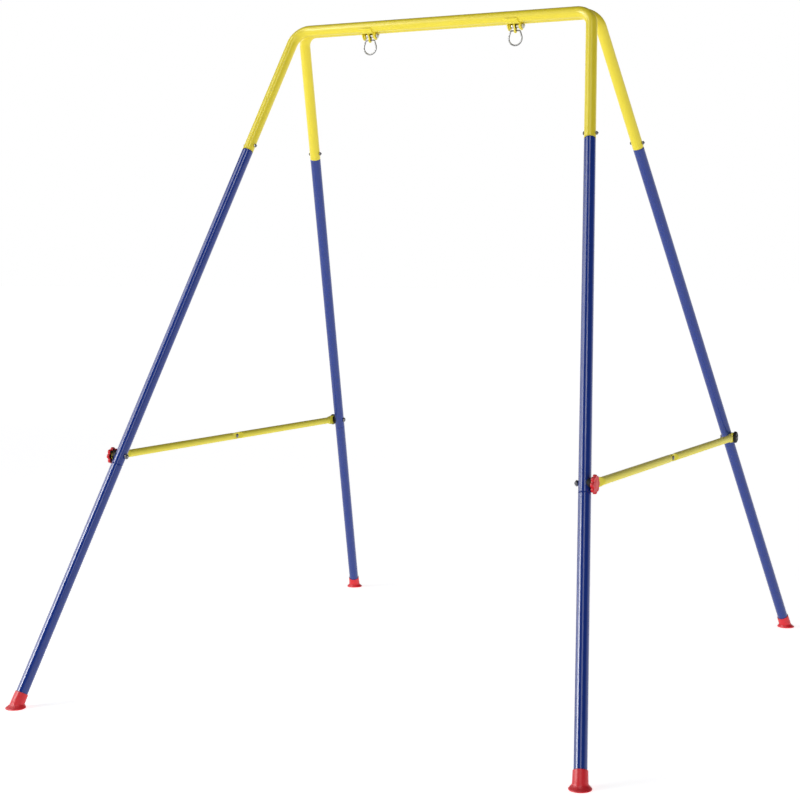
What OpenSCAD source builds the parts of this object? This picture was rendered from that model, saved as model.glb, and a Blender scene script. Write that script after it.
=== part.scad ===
// Folding indoor swing frame: two bent tube frames hinged at the top, each on four-piece legs with
// rubber feet, held open by two hook-on side braces, with two rings for a swing.
// Millimetres. X runs along the top bar, Y from front to rear, Z up. The origin is on the floor,
// in the middle of the four feet.

/* [Frame] */
// Height of the top tubes' axes above the floor
bar_axis_h = 1320; // [1100:5:1500]
// Distance between the axes of the front and rear top tubes
bar_spacing = 28; // [27:0.5:34]
// Distance between the points where a top tube's bar and legs would meet without the bends
corner_spacing = 656; // [560:2:800]
// Distance between the left and right feet
foot_spread_x = 1123; // [1000:1:1300]
// Distance between the front and rear feet
foot_spread_y = 1364; // [1150:2:1500]

/* [Tubes] */
// Outer diameter of the frame tubes
tube_d = 22.4; // [21:0.1:24]
// Wall of the frame tubes
tube_wall = 1.2; // [0.9:0.1:1.6]
// Centre-line radius of the top tubes' bends
bend_r = 36; // [32:1:60]
// Length of a top tube's arm, from its corner to its open end
arm_len = 289; // [220:1:360]
// Length of an upper leg tube, without its spigot
upper_leg_len = 708; // [600:1:760]
// Length of the narrowed spigot at the top of each leg tube
spigot_len = 45; // [35:1:70]
// Radial clearance of a spigot in the tube above it
spigot_gap = 0.15; // [0.1:0.05:0.3]
// Length of the cone between a spigot and its full tube
shoulder_len = 2; // [1:0.5:4]

/* [Feet] */
// Length of the foot's sleeve along the leg
foot_sleeve = 31; // [28:1:50]
// Wall of the foot's sleeve at its upper edge
foot_wall = 1.3; // [1:0.1:2.5]
// Diameter of the foot's flange on the floor
foot_d = 38.5; // [36:0.5:46]
// Height of the flange's flare
foot_flare_h = 9; // [7:0.5:14]
// Thickness of the flange's rim
foot_rim_t = 2.5; // [2:0.5:4]
// Height of the leg tube's axis above the floor where the tube ends in the foot
foot_seat_h = 10; // [8:0.5:14]

/* [Top hinges] */
// Distance between the two hinge brackets
hinge_spacing = 325; // [260:1:420]
// Drop from the top tubes' axes to the fold axis
hinge_drop = 16.5; // [16:0.5:24]
// Thickness of the bracket's outer ears and saddles
ear_t = 2.5; // [2:0.1:3]
// Thickness of the middle ear that carries the ring
hanger_t = 3; // [2.5:0.1:4]
// Distance from the bracket's middle to the rear ears' inner faces
rear_ear_x = 9; // [8:0.5:12]
// Gap between neighbouring ears
ear_gap = 0.5; // [0.3:0.1:0.8]
// Radius of the ears' rounded ends
ear_r = 6.5; // [6:0.1:7]
// Diameter of the hinge bolts
hinge_bolt_d = 6; // [5:0.5:6.5]
// Outer diameter of the spacer bushes on the hinge bolts
bush_d = 9; // [8:0.5:10]
// Angle of the frame's fold, from open to flat
fold_angle = 53; // [45:1:53]

/* [Rings] */
// Outer diameter of a ring
ring_d = 33; // [30:0.5:42]
// Diameter of the ring's wire
ring_wire = 4; // [3.5:0.1:4.5]
// Diameter of the hole that the ring hangs in
ring_hole_d = 5.6; // [5.4:0.1:6]
// Drop from the fold axis to the ring's hole
ring_hole_drop = 8.5; // [8:0.1:10]
// Radius of the middle ear's end around the ring's hole
hanger_r = 5.5; // [5:0.1:6.5]
// Distance that the ring's wire hangs below the middle of its hole
ring_sag = 0.6; // [0.4:0.05:0.6]

/* [Braces] */
// Outer diameter of the brace tubes
brace_d = 15; // [13:0.5:16]
// Wall of the brace tubes
brace_wall = 1; // [0.8:0.1:1.2]
// Height of the brace pivots above the leg's lower seam, along the leg
pivot_above_seam = 17.5; // [14:0.5:30]
// Outward reach of the saddles' flat faces from the leg's axis
saddle_out = 13; // [13:0.1:15]
// Diameter of the saddles
saddle_d = 20; // [17:0.5:22]
// Clearance of the flattened brace ends between their washers
brace_gap = 0.2; // [0.15:0.05:0.4]
// Radius of the hooked front end
hook_r = 9; // [8:0.5:11]
// Length of the front end's flat, behind its stud
hook_flat = 32; // [28:1:40]
// Height of the flattened rear end
flat_h = 20; // [17:0.5:20]
// Length of the rear end's flat, before its pivot
rear_flat = 20; // [20:0.5:26]
// Length over which the brace turns from flat to round
press_len = 16; // [12:1:24]
// Distance from the mid rivet to the round tube of each half
tongue_len = 22; // [20:0.5:30]
// Length of the flat tongues, from the mid rivet
tongue_flat = 12; // [11.5:0.5:16]
// Height of the lapped tongues at the mid rivet
tongue_h = 14.4; // [12:0.1:14.6]
// Diameter of the mid rivets
rivet_d = 5; // [4:0.5:5]
// Angle that the brace swings up while the frame folds
brace_swing = 63; // [55:1:70]

/* [Knobs and bolts] */
// Diameter of a knob over its lobes
knob_d = 34; // [32:0.5:40]
// Thickness of a knob
knob_t = 6; // [6:0.5:9]
// Number of lobes on a knob
knob_lobes = 8; // [6:1:9]
// Radius of a knob's lobes
lobe_r = 4.6; // [4:0.1:5]
// Wall of a knob's hollow shell
knob_shell = 2; // [1.6:0.1:2.4]
// Diameter of the knob's boss
knob_boss_d = 14; // [12:0.5:16]
// Diameter of the knobs' studs and the brace pivot bolts
stud_d = 6; // [5:0.5:6.5]
// Depth of a stud in its knob
stud_in_knob = 3.5; // [3:0.5:4]
// Diameter of the knobs' washers
washer_d = 16; // [14:0.5:18]
// Thickness of the knobs' washers
washer_t = 1; // [0.8:0.1:1.2]
// Diameter of the caps over the rear pivots
cap_d = 25; // [22:0.5:27]
// Thickness of the caps over the rear pivots
cap_t = 6; // [5.5:0.5:8]
// Thickness of a cap's floor, which its nut bears on
cap_floor = 1.6; // [1.2:0.1:2.4]
// Diameter of the bolts at the tube joints
joint_bolt_d = 4; // [3.5:0.5:5]
// Height of the joint bolts above the seam between arm and leg
joint_bolt_up = 11.5; // [8:0.5:20]
// Length of bare thread past each nut
thread_tip = 2; // [1:0.5:5]

/* [Hidden] */
$fn = 64;
// Radial clearance of a pin that turns in its hole
pin_gap = 0.05;
// Radial clearance of a bolt in a drilled tube
drill_gap = 0.3;
// Gap left for weld or seat between two pieces that don't move on each other
seat_gap = 0.1;
// Overlap that makes cuts run clean through
cut = 1;
// Thickness of the slices that a pressed tube is drawn between
slice = 0.02;
// Thickening of a tube's wall where it is bent, and the length over which bend and straight merge
bend_swell = 0.05;
bend_lap = 0.4;
// Depth by which a belt's straight sides lie inside the tangents of its circles
tuck = 0.05;

tube_r = tube_d / 2;
bore_r = tube_r - tube_wall;
spigot_r = bore_r - spigot_gap;
brace_r = brace_d / 2;
flat_t = 2 * brace_wall;

// Shape of one bent frame: lean of its plane, splay of its legs, length of a leg to the floor
lean_run = (foot_spread_y - bar_spacing) / 2;
lean = atan(lean_run / bar_axis_h);
slope_len = sqrt(lean_run * lean_run + bar_axis_h * bar_axis_h);
splay = atan((foot_spread_x - corner_spacing) / 2 / slope_len);
leg_len = slope_len / cos(splay);
leg_tilt = acos(bar_axis_h / leg_len);
bend_turn = 90 - splay;
bend_tangent = bend_r * tan(bend_turn / 2);
seam_run = arm_len + upper_leg_len;
brace_run = seam_run - pivot_above_seam;
leg_end_run = leg_len - foot_seat_h / cos(leg_tilt);

// Places along the braces
hinge_z = bar_axis_h - hinge_drop;
brace_x = leg_point(1, 1, brace_run)[0];
brace_y = leg_point(1, 1, brace_run)[1];
brace_z = leg_point(1, 1, brace_run)[2];
flat_in = saddle_out + brace_gap;
flat_out = flat_in + flat_t;
brace_off = flat_in + flat_t / 2;
cap_in = flat_out + brace_gap;
washer_in = flat_out + brace_gap;
knob_in = washer_in + brace_gap;
boss_in = washer_in + washer_t + brace_gap;
tongue_in = brace_gap / 2;
tongue_out = tongue_in + flat_t;
// Way that the stud leaves the hook as the frame folds and the brace swings up: back and down
hook_exit = [hinge_z - brace_z, -brace_y - 2 * brace_y * brace_swing / fold_angle];

// Places across a hinge bracket
front_ear_x = rear_ear_x + ear_t + ear_gap;
bracket_half = front_ear_x + ear_t;
saddle_in_turn = 58;
saddle_out_turn = 70;
ring_r = (ring_d - ring_wire) / 2;
ring_hole_z = hinge_z - ring_hole_drop;
bush_gap = 0.3;

// Bolt heads and nuts, as multiples of their bolt's diameter
head_width = 1.8;
head_height = 0.55;
nut_width = 1.85;
nut_height = 0.6;
// Slope of the leg's surface under a head or nut, which stands clear of it by this share of its radius
seat_rise = 0.2;

yellow = "#f2dc2e";
blue = "#2b3c8f";
red = "#d8202a";
black = "#1c1c1e";
steel = "#c9ccd0";

// A point on a leg's axis, at a distance from the top tube's corner; end is -1 front, 1 rear;
// side is -1 left, 1 right
function leg_point(end, side, run) = [
    side * (corner_spacing / 2 + run * sin(splay)),
    end * (bar_spacing / 2 + run * cos(splay) * sin(lean)),
    bar_axis_h - run * cos(splay) * cos(lean)
];

// Moves children into the leaning plane of the front or rear frame, with its bar along X
module in_frame(end) {
    translate([0, end * bar_spacing / 2, bar_axis_h])
        rotate([end * lean, 0, 0])
            children();
}

// Moves children onto a leg, with the leg's axis along Z and its top tube's corner at the origin
module on_leg(end, side) {
    in_frame(end)
        translate([side * corner_spacing / 2, 0, 0])
            rotate([0, -side * splay, 0])
                children();
}

// A cylinder along X between two places
module rod_x(x1, x2, r) {
    translate([min(x1, x2), 0, 0])
        rotate([0, 90, 0])
            cylinder(r = r, h = abs(x2 - x1));
}

// A hexagon along X between two places, across corners of a width
module hex_x(x1, x2, width) {
    translate([min(x1, x2), 0, 0])
        rotate([0, 90, 0])
            cylinder(d = width, h = abs(x2 - x1), $fn = 6);
}

// Plate square to X between two places, from an outline drawn in Y and Z
module plate_x(x1, x2) {
    translate([min(x1, x2), 0, 0])
        rotate([90, 0, 90])
            linear_extrude(abs(x2 - x1))
                children();
}

// Outline of a belt round two circles
module link_outline(p, rp, q, rq) {
    way = atan2(q[1] - p[1], q[0] - p[0]);
    open = acos((rp - rq) / norm(q - p));
    translate(p) circle(r = rp);
    translate(q) circle(r = rq);
    polygon([
        p + (rp - tuck) * [cos(way + open), sin(way + open)],
        q + (rq - tuck) * [cos(way + open), sin(way + open)],
        q + (rq - tuck) * [cos(way - open), sin(way - open)],
        p + (rp - tuck) * [cos(way - open), sin(way - open)]
    ]);
}

// Pan head along +X with its flat at the origin
module pan_head(d) {
    r = head_width * d / 2;
    h = head_height * d;
    rotate([0, 90, 0])
        rotate_extrude()
            intersection() {
                square([r, h]);
                translate([0, h - (r * r + h * h) / (2 * h)])
                    circle(r = (r * r + h * h) / (2 * h));
            }
}

// Bolt along +X, head at x1 and thread out to x2
module bolt_x(x1, x2, d) {
    translate([x1, 0, 0]) mirror([1, 0, 0]) pan_head(d);
    rod_x(x1 - head_height * d / 2, x2, d / 2);
}

// Nut between x1 and one nut height further along +X
module nut_x(x1, d) {
    difference() {
        hex_x(x1, x1 + nut_height * d, nut_width * d);
        rod_x(x1 - cut, x1 + nut_height * d + cut, d / 2 + pin_gap);
    }
}

// Outer reach of a leg's surface under a fastener of a radius on a bolt along X
function seat_reach(r) = tube_r / cos(splay) + seat_rise * r + seat_gap;

// Tube of the top frame's stock along -Z, between two places
module stock_tube(z1, z2) {
    difference() {
        translate([0, 0, -z2]) cylinder(r = tube_r, h = z2 - z1);
        translate([0, 0, -z2 - cut]) cylinder(r = bore_r, h = z2 - z1 + 2 * cut);
    }
}

// Bent run of a top tube: bar, two bends and two arms
module top_run() {
    bar_half = corner_spacing / 2 - bend_tangent + bend_lap;
    translate([-bar_half, 0, 0])
        rotate([0, -90, 0])
            stock_tube(0, 2 * bar_half);
    for (side = [-1, 1])
        mirror([side < 0 ? 1 : 0, 0, 0]) {
            translate([corner_spacing / 2 - bend_tangent, 0, -bend_r])
                rotate([90, 0, 0])
                    rotate([0, 0, splay])
                        rotate_extrude(angle = bend_turn)
                            translate([bend_r, 0])
                                difference() {
                                    circle(r = tube_r + bend_swell);
                                    circle(r = bore_r - bend_swell);
                                }
            translate([corner_spacing / 2, 0, 0])
                rotate([0, -splay, 0])
                    stock_tube(bend_tangent - bend_lap, arm_len);
        }
}

// Drilling along X through a leg at a run, with a diameter
module leg_drill(end, side, run, d) {
    translate(leg_point(end, side, run))
        rod_x(-tube_d, tube_d, d / 2 + drill_gap);
}

// Yellow tube bent to an inverted U, drilled for its two joint bolts
module top_tube(end) {
    color(yellow)
        difference() {
            in_frame(end) top_run();
            for (side = [-1, 1])
                leg_drill(end, side, arm_len - joint_bolt_up, joint_bolt_d);
        }
}

// Tube with a narrowed spigot at its top, between two runs along a leg
module spigot_tube(end, side, run1, run2) {
    on_leg(end, side)
        rotate_extrude()
            polygon([
                [spigot_r - tube_wall, -run1 + spigot_len],
                [spigot_r, -run1 + spigot_len],
                [spigot_r, -run1 - seat_gap],
                [tube_r, -run1 - seat_gap - shoulder_len],
                [tube_r, -run2],
                [bore_r, -run2],
                [bore_r, -run1 - seat_gap - shoulder_len],
                [spigot_r - tube_wall, -run1 - seat_gap]
            ]);
}

// Blue upper leg tube, drilled at its spigot and at the brace pivot
module upper_leg(end, side) {
    color(blue)
        difference() {
            spigot_tube(end, side, arm_len, seam_run);
            leg_drill(end, side, arm_len - joint_bolt_up, joint_bolt_d);
            leg_drill(end, side, brace_run, stud_d);
        }
}

// Blue lower leg tube, whose spigot takes the brace pivot
module lower_leg(end, side) {
    color(blue)
        difference() {
            spigot_tube(end, side, seam_run, leg_end_run);
            leg_drill(end, side, brace_run, stud_d);
        }
}

// Red rubber foot: a sleeve round the leg on a flared flange that lies flat on the floor
module foot(end, side) {
    sleeve_r = tube_r + foot_wall;
    neck = sleeve_r + foot_wall;
    flare = foot_d / 2 - neck;
    rise = foot_flare_h - foot_rim_t;
    color(red)
        difference() {
            union() {
                on_leg(end, side)
                    translate([0, 0, -leg_len - tube_d])
                        cylinder(r1 = neck, r2 = sleeve_r, h = foot_sleeve + tube_d);
                translate(leg_point(end, side, leg_len))
                    rotate_extrude()
                        difference() {
                            square([foot_d / 2, foot_flare_h]);
                            translate([neck + max(flare, rise), foot_rim_t + max(flare, rise)])
                                circle(r = max(flare, rise));
                        }
            }
            on_leg(end, side)
                translate([0, 0, -leg_end_run - seat_gap])
                    cylinder(r = tube_r + seat_gap, h = foot_sleeve + tube_d);
            translate(leg_point(end, side, leg_len) - [foot_d, foot_d, 2 * foot_d])
                cube(2 * foot_d);
        }
}

// Places children on both hinge brackets, at the fold axis
module at_hinges() {
    for (side = [-1, 1])
        at_hinge(side) children();
}

// Places children on one hinge bracket, at the fold axis
module at_hinge(side) {
    translate([side * hinge_spacing / 2, 0, hinge_z])
        children();
}

// Outline of an ear from the fold axis up to its top tube
module ear_outline(end) {
    tube_at = [end * bar_spacing / 2, hinge_drop];
    difference() {
        link_outline([0, 0], ear_r, tube_at, tube_r - 2);
        translate(tube_at) circle(r = tube_r + seat_gap + ear_t / 2);
    }
}

// Curved saddle under a top tube, as wide as its ears
module hinge_saddle(end, half_width) {
    translate([0, end * bar_spacing / 2, hinge_drop])
        mirror([0, end < 0 ? 1 : 0, 0])
            rotate([0, 90, 0])
                rotate([0, 0, -saddle_in_turn])
                    rotate_extrude(angle = saddle_in_turn + saddle_out_turn)
                        translate([tube_r + seat_gap, -half_width])
                            square([ear_t, 2 * half_width]);
}

// Front bracket: two outer ears and the middle ear that carries the ring, on one saddle
module front_bracket(side) {
    color(yellow)
        at_hinge(side)
            difference() {
                union() {
                    hinge_saddle(-1, bracket_half - ear_t / 8);
                    for (flank = [-1, 1])
                        plate_x(flank * front_ear_x, flank * bracket_half) ear_outline(-1);
                    plate_x(-hanger_t / 2, hanger_t / 2) {
                        ear_outline(-1);
                        link_outline([0, 0], ear_r - ear_t / 8, [0, -ring_hole_drop], hanger_r);
                    }
                }
                rod_x(-bracket_half - cut, bracket_half + cut, hinge_bolt_d / 2 + pin_gap);
                translate([0, 0, -ring_hole_drop])
                    rod_x(-hanger_t, hanger_t, ring_hole_d / 2);
            }
}

// Rear bracket: two ears that turn on the hinge bolt, on one saddle
module rear_bracket(side) {
    color(yellow)
        at_hinge(side)
            difference() {
                union() {
                    hinge_saddle(1, rear_ear_x + ear_t - ear_t / 8);
                    for (flank = [-1, 1])
                        plate_x(flank * rear_ear_x, flank * (rear_ear_x + ear_t)) ear_outline(1);
                }
                rod_x(-bracket_half, bracket_half, hinge_bolt_d / 2 + pin_gap);
            }
}

// Hinge bolts through both brackets
module hinge_bolts() {
    color(steel)
        at_hinges()
            bolt_x(-bracket_half - seat_gap,
                   bracket_half + nut_height * hinge_bolt_d + thread_tip, hinge_bolt_d);
}

// Nuts on the hinge bolts
module hinge_nuts() {
    color(steel)
        at_hinges()
            nut_x(bracket_half + seat_gap, hinge_bolt_d);
}

// Bushes that keep the rear ears off the middle ear
module hinge_bushes() {
    color(steel)
        at_hinges()
            for (flank = [-1, 1])
                difference() {
                    rod_x(flank * (hanger_t / 2 + bush_gap), flank * (rear_ear_x - bush_gap), bush_d / 2);
                    rod_x(-rear_ear_x, rear_ear_x, hinge_bolt_d / 2 + pin_gap);
                }
}

// Welded wire ring, hanging in the middle ear
module ring(side) {
    color(steel)
        translate([side * hinge_spacing / 2, 0, ring_hole_z - ring_sag - ring_r])
            rotate([90, 0, 0])
                rotate_extrude()
                    translate([ring_r, 0])
                        circle(r = ring_wire / 2);
}

// Places children at both joints between arm and upper leg of one frame
module at_joints(end) {
    for (side = [-1, 1])
        translate(leg_point(end, side, arm_len - joint_bolt_up))
            children();
}

// Bolts through the joints between arm and upper leg
module joint_bolts(end) {
    color(steel)
        at_joints(end)
            bolt_x(-seat_reach(head_width * joint_bolt_d / 2),
                   seat_reach(nut_width * joint_bolt_d / 2) + nut_height * joint_bolt_d + thread_tip,
                   joint_bolt_d);
}

// Nuts of the joint bolts
module joint_nuts(end) {
    color(steel)
        at_joints(end)
            nut_x(seat_reach(nut_width * joint_bolt_d / 2), joint_bolt_d);
}

// Places children at a brace pivot on a leg's axis
module at_pivot(end, side) {
    translate([side * brace_x, end * brace_y, brace_z])
        children();
}

// Black saddles between the legs and the flattened brace ends
module brace_saddles(end) {
    color(black)
        for (side = [-1, 1])
            difference() {
                at_pivot(end, side)
                    rod_x(0, side * saddle_out, saddle_d / 2);
                on_leg(end, side)
                    translate([0, 0, -brace_run - tube_d * 2])
                        cylinder(r = tube_r + seat_gap, h = tube_d * 4);
                at_pivot(end, side)
                    rod_x(-tube_d, tube_d, stud_d / 2 + drill_gap);
            }
}

// Nuts inside the front legs, which the knobs' studs turn in
module stud_nuts() {
    color(steel)
        for (side = [-1, 1])
            at_pivot(-1, side)
                mirror([side > 0 ? 1 : 0, 0, 0])
                    nut_x(seat_reach(nut_width * stud_d / 2), stud_d);
}

// Places children at both rear pivots, with +X out of the leg
module at_rear_pivots() {
    for (side = [-1, 1])
        at_pivot(1, side)
            mirror([side < 0 ? 1 : 0, 0, 0])
                children();
}

// Pivot bolts of the braces, put in from inside the frame
module brace_pivot_bolts() {
    color(steel)
        at_rear_pivots()
            bolt_x(-seat_reach(head_width * stud_d / 2), cap_in + cap_t + thread_tip, stud_d);
}

// Nuts of the pivot bolts, sunk in the caps
module brace_pivot_nuts() {
    color(steel)
        at_rear_pivots()
            nut_x(cap_in + cap_floor + seat_gap, stud_d);
}

// Black caps over the flattened rear ends, hollowed for the nuts
module brace_pivot_caps() {
    bevel = cap_t / 3;
    bore = stud_d / 2 + drill_gap;
    sink = nut_width * stud_d / 2 + drill_gap;
    color(black)
        at_rear_pivots()
            translate([cap_in, 0, 0])
                rotate([0, 90, 0])
                    rotate_extrude()
                        polygon([
                            [bore, 0], [cap_d / 2, 0], [cap_d / 2, cap_t - bevel], [cap_d / 2 - bevel, cap_t],
                            [sink, cap_t], [sink, cap_floor], [bore, cap_floor]
                        ]);
}

// Moves children to a brace's middle, with the brace along Y and its outside towards +X
module on_brace(side) {
    mirror([side < 0 ? 1 : 0, 0, 0])
        translate([brace_x + brace_off, 0, brace_z])
            children();
}

// Tube along Y between two places
module brace_run_y(y1, y2, r) {
    translate([0, y1, 0])
        rotate([-90, 0, 0])
            cylinder(r = r, h = y2 - y1);
}

// Pressed stretch between a flat at one place, which spans x1 to x2, and a round tube at another
module pressed(flat_y, round_y, height, x1, x2) {
    hull() {
        translate([x1, flat_y - slice, -height / 2])
            cube([x2 - x1, 2 * slice, height]);
        brace_run_y(round_y - slice, round_y + slice, brace_r, $fn = 32);
    }
}

// Flat tongue from the mid rivet out to a place, between x1 and x2
module tongue(to_y, x1, x2, hole_r) {
    plate_x(x1, x2)
        difference() {
            union() {
                circle(d = tongue_h);
                translate([min(to_y, 0), -tongue_h / 2]) square([abs(to_y), tongue_h]);
            }
            circle(r = hole_r);
        }
}

// Round tube of a brace between two places, closed where it is pressed flat
module brace_tube(y1, y2) {
    difference() {
        brace_run_y(y1, y2, brace_r);
        brace_run_y(y1 + brace_wall, y2 - brace_wall, brace_r - brace_wall);
    }
}

// Outline of the hook: a rounded flat with a slot for the stud, open below and slanted to the rear
module hook_outline() {
    slot_r = stud_d / 2 + drill_gap;
    way = hook_exit / norm(hook_exit);
    reach = 3 * hook_r;
    difference() {
        union() {
            circle(r = hook_r);
            translate([0, -hook_r]) square([hook_flat, 2 * hook_r]);
        }
        circle(r = slot_r);
        polygon([
            [-slot_r, 0], [-slot_r, -reach],
            slot_r * [-way[1], way[0]] + reach * way, slot_r * [-way[1], way[0]]
        ]);
    }
}

// Front half of a brace: a hook for the knob's stud, a pressed tube and a tongue
module brace_front_tube(side) {
    stud_y = -brace_y;
    flat_end = stud_y + hook_flat;
    round_start = flat_end + press_len;
    color(yellow)
        on_brace(side) {
            plate_x(-flat_t / 2, flat_t / 2)
                translate([stud_y, 0])
                    hook_outline();
            pressed(flat_end, round_start, 2 * hook_r, -flat_t / 2, flat_t / 2);
            brace_tube(round_start, -tongue_len);
            pressed(-tongue_flat, -tongue_len, tongue_h, -tongue_out, -tongue_in);
            tongue(-tongue_flat, -tongue_out, -tongue_in, rivet_d / 2 + pin_gap);
        }
}

// Rear half of a brace: a tongue, a pressed tube and a drilled flat end
module brace_rear_tube(side) {
    flat_start = brace_y - rear_flat;
    round_end = flat_start - press_len;
    color(yellow)
        on_brace(side) {
            plate_x(-flat_t / 2, flat_t / 2)
                difference() {
                    union() {
                        translate([brace_y, 0]) circle(d = flat_h);
                        translate([flat_start, -flat_h / 2]) square([rear_flat, flat_h]);
                    }
                    translate([brace_y, 0]) circle(r = stud_d / 2 + pin_gap);
                }
            pressed(flat_start, round_end, flat_h, -flat_t / 2, flat_t / 2);
            brace_tube(tongue_len, round_end);
            pressed(tongue_flat, tongue_len, tongue_h, tongue_in, tongue_out);
            tongue(tongue_flat, tongue_in, tongue_out, rivet_d / 2 + pin_gap);
        }
}

// Rivet that the two halves of a brace fold on
module brace_rivet(side) {
    color(steel)
        on_brace(side) {
            rod_x(-tongue_out - seat_gap, tongue_out + seat_gap, rivet_d / 2);
            for (flank = [-1, 1])
                mirror([flank < 0 ? 1 : 0, 0, 0])
                    translate([tongue_out + seat_gap, 0, 0])
                        pan_head(rivet_d);
        }
}

// Moves children to a knob, with +Z out of the leg and the leg's axis at the origin
module on_knob(side) {
    at_pivot(-1, side)
        rotate([0, side * 90, 0])
            children();
}

// Red star knob: a lobed shell over its washer, with a boss for its stud
module knob(side) {
    core_r = knob_d / 2 - lobe_r / 2;
    edge_r = knob_t / 3;
    color(red)
        on_knob(side)
            translate([0, 0, knob_in])
                difference() {
                    intersection() {
                        union() {
                            cylinder(r = core_r, h = knob_t);
                            for (i = [0 : knob_lobes - 1])
                                rotate(i * 360 / knob_lobes)
                                    translate([knob_d / 2 - lobe_r, 0, 0])
                                        cylinder(r = lobe_r, h = knob_t);
                        }
                        rotate_extrude() {
                            square([knob_d / 2 - edge_r, knob_t]);
                            square([knob_d / 2, knob_t - edge_r]);
                            translate([knob_d / 2 - edge_r, knob_t - edge_r]) circle(r = edge_r);
                        }
                    }
                    difference() {
                        translate([0, 0, -cut])
                            cylinder(r = core_r - knob_shell, h = knob_t - knob_shell + cut);
                        translate([0, 0, boss_in - knob_in])
                            cylinder(d = knob_boss_d, h = knob_t);
                    }
                    translate([0, 0, -cut])
                        cylinder(d = stud_d, h = boss_in - knob_in + stud_in_knob + cut);
                }
}

// Threaded stud moulded into a knob
module knob_stud(side) {
    tip = seat_reach(nut_width * stud_d / 2) + nut_height * stud_d + thread_tip;
    color(steel)
        on_knob(side)
            translate([0, 0, -tip])
                cylinder(d = stud_d, h = tip + boss_in + stud_in_knob);
}

// Plain washer between a knob and its brace
module knob_washer(side) {
    color(steel)
        on_knob(side)
            translate([0, 0, washer_in])
                difference() {
                    cylinder(d = washer_d, h = washer_t);
                    translate([0, 0, -cut])
                        cylinder(r = stud_d / 2 + pin_gap, h = washer_t + 2 * cut);
                }
}

top_tube(-1);  // front_top_tube
top_tube(1);  // rear_top_tube
upper_leg(-1, -1);  // front_left_upper_leg
upper_leg(-1, 1);  // front_right_upper_leg
upper_leg(1, -1);  // rear_left_upper_leg
upper_leg(1, 1);  // rear_right_upper_leg
lower_leg(-1, -1);  // front_left_lower_leg
lower_leg(-1, 1);  // front_right_lower_leg
lower_leg(1, -1);  // rear_left_lower_leg
lower_leg(1, 1);  // rear_right_lower_leg
foot(-1, -1);  // front_left_foot
foot(-1, 1);  // front_right_foot
foot(1, -1);  // rear_left_foot
foot(1, 1);  // rear_right_foot
front_bracket(-1);  // left_front_hinge_bracket
front_bracket(1);  // right_front_hinge_bracket
rear_bracket(-1);  // left_rear_hinge_bracket
rear_bracket(1);  // right_rear_hinge_bracket
hinge_bolts();
hinge_nuts();
hinge_bushes();
ring(-1);  // left_ring
ring(1);  // right_ring
joint_bolts(-1);  // front_joint_bolts
joint_bolts(1);  // rear_joint_bolts
joint_nuts(-1);  // front_joint_nuts
joint_nuts(1);  // rear_joint_nuts
brace_saddles(-1);  // front_brace_saddles
brace_saddles(1);  // rear_brace_saddles
stud_nuts();
brace_pivot_bolts();
brace_pivot_nuts();
brace_pivot_caps();
brace_front_tube(-1);  // left_brace_front_tube
brace_front_tube(1);  // right_brace_front_tube
brace_rear_tube(-1);  // left_brace_rear_tube
brace_rear_tube(1);  // right_brace_rear_tube
brace_rivet(-1);  // left_brace_rivet
brace_rivet(1);  // right_brace_rivet
knob(-1);  // left_knob
knob(1);  // right_knob
knob_stud(-1);  // left_knob_stud
knob_stud(1);  // right_knob_stud
knob_washer(-1);  // left_knob_washer
knob_washer(1);  // right_knob_washer
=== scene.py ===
import bpy
import numpy as np
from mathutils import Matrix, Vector


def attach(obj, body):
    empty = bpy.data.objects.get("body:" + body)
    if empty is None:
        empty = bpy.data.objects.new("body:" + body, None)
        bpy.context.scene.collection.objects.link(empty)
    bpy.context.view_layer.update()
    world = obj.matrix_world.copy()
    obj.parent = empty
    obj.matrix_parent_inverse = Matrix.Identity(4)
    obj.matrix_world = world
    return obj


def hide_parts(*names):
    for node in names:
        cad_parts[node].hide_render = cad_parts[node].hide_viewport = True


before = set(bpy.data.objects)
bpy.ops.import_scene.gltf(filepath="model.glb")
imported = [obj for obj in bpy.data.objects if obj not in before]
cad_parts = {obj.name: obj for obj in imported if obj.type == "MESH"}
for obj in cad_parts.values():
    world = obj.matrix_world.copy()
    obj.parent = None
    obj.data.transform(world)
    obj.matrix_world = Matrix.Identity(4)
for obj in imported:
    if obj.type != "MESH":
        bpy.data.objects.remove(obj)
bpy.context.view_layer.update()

# Top tubes: two lengths of steel tube, each bent twice into an inverted U that spans the frame and
# starts its two legs. They are cut square, drilled for the joint bolts and powder coated yellow.
BAR_HEIGHT, BAR_SPACING, CORNER_SPACING = 1320.0, 28.0, 656.0
FOOT_SPREAD_X, FOOT_SPREAD_Y = 1123.0, 1364.0
TUBE_R, TUBE_WALL, BEND_R, ARM_LENGTH = 11.2, 1.2, 36.0, 289.0
ROUND = 72
ENDS = {"front": -1, "rear": 1}
SIDES = {"left": -1, "right": 1}

lean_run = (FOOT_SPREAD_Y - BAR_SPACING) / 2
LEAN = np.arctan2(lean_run, BAR_HEIGHT)
slope_length = np.hypot(lean_run, BAR_HEIGHT)
SPLAY = np.arctan2((FOOT_SPREAD_X - CORNER_SPACING) / 2, slope_length)
LEG_LENGTH = slope_length / np.cos(SPLAY)
BEND_TURN = np.pi / 2 - SPLAY
BEND_TANGENT = BEND_R * np.tan(BEND_TURN / 2)


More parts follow.
